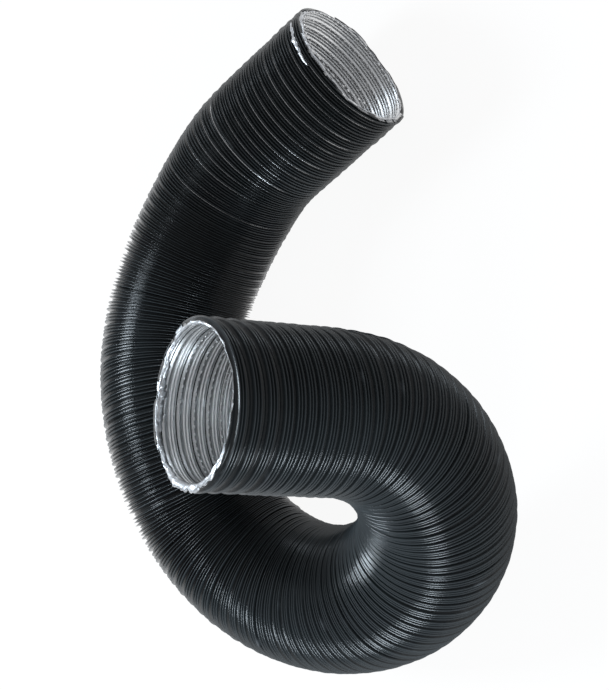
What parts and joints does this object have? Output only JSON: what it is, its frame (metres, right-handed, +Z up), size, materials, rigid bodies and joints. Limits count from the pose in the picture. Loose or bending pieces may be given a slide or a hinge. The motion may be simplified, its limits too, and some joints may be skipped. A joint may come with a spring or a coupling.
{
  "type": "flexible air duct",
  "caption": "Semi-rigid corrugated aluminium air duct, black outside and bare inside, bent by hand into an open loop, with bare cut ends.",
  "frame": {"origin": "centre of the duct's box, on the floor that it stands on", "axes": "+Z up, +X along the longest side of its box and towards the side of the far mouth, -Y towards the side that the picture was taken from"},
  "size_m": [0.3951, 0.3062, 0.2652],
  "materials": {
    "duct_wall": "thin black lacquer on corrugated aluminium, satin",
    "cut_edge": "bare cut foil, bright"
  },
  "bodies": {
    "loop_group": {"bend_4_turns": "duct_wall", "flex_4_turns": "duct_wall", "flex_5_turns": "duct_wall"},
    "bend_3": {"bend_3_turns": "duct_wall", "flex_3_turns": "duct_wall"},
    "bend_2": {"bend_2_turns": "duct_wall", "flex_2_turns": "duct_wall"},
    "bend_1": {"bend_1_turns": "duct_wall", "flex_1_turns": "duct_wall"},
    "near_mouth": {"near_mouth_turns": "duct_wall", "near_cut_edge": "cut_edge"},
    "bend_5": {"bend_5_turns": "duct_wall", "flex_6_turns": "duct_wall"},
    "bend_6": {"bend_6_turns": "duct_wall", "flex_7_turns": "duct_wall"},
    "bend_7": {"bend_7_turns": "duct_wall", "flex_8_turns": "duct_wall"},
    "bend_8": {"bend_8_turns": "duct_wall", "flex_9_turns": "duct_wall"},
    "far_mouth": {"far_mouth_turns": "duct_wall", "far_cut_edge": "cut_edge"}
  },
  "joints": [
    {"name": "flex_1_curl", "type": "hinge", "parent": "bend_1", "child": "near_mouth", "pos_m": [-0.03895, -0.09709, 0.16195], "axis": [-0.4138, -0.8213, 0.3927], "range_deg": [-33, 2], "deforming": ["flex_1_turns"]},
    {"name": "flex_2_sway", "type": "hinge", "parent": "bend_2", "child": "bend_1", "pos_m": [-0.07239, -0.10857, 0.10159], "axis": [0.2386, -0.9153, -0.3244], "range_deg": [-10, 10], "deforming": ["flex_2_turns"]},
    {"name": "flex_3_curl", "type": "hinge", "parent": "bend_3", "child": "bend_2", "pos_m": [-0.12287, -0.08135, 0.06133], "axis": [-0.546, -0.0361, 0.837], "range_deg": [-32, 3], "deforming": ["flex_3_turns"]},
    {"name": "flex_4_sway", "type": "hinge", "parent": "loop_group", "child": "bend_3", "pos_m": [-0.15201, -0.01986, 0.04464], "axis": [-0.9584, -0.1455, -0.2456], "range_deg": [-10, 10], "deforming": ["flex_4_turns"]},
    {"name": "flex_5_curl", "type": "hinge", "parent": "loop_group", "child": "bend_5", "pos_m": [-0.13737, 0.04863, 0.04468], "axis": [0.2861, -0.0689, -0.9557], "range_deg": [-33, 2], "deforming": ["flex_5_turns"]},
    {"name": "flex_6_sway", "type": "hinge", "parent": "bend_5", "child": "bend_6", "pos_m": [-0.08282, 0.09066, 0.05741], "axis": [-0.2945, 0.3517, 0.8886], "range_deg": [-15, 15], "deforming": ["flex_6_turns"]},
    {"name": "flex_7_curl", "type": "hinge", "parent": "bend_6", "child": "bend_7", "pos_m": [-0.01443, 0.10904, 0.05451], "axis": [-0.165, -0.1026, -0.9809], "range_deg": [-30, 6], "deforming": ["flex_7_turns"]},
    {"name": "flex_8_sway", "type": "hinge", "parent": "bend_7", "child": "bend_8", "pos_m": [0.05418, 0.09592, 0.04449], "axis": [0.3439, 0.8199, -0.4578], "range_deg": [-15, 15], "deforming": ["flex_8_turns"]},
    {"name": "flex_9_curl", "type": "hinge", "parent": "bend_8", "child": "far_mouth", "pos_m": [0.11187, 0.05452, 0.04461], "axis": [0.3026, 0.2429, -0.9217], "range_deg": [-31, 5], "deforming": ["flex_9_turns"]}
  ]
}
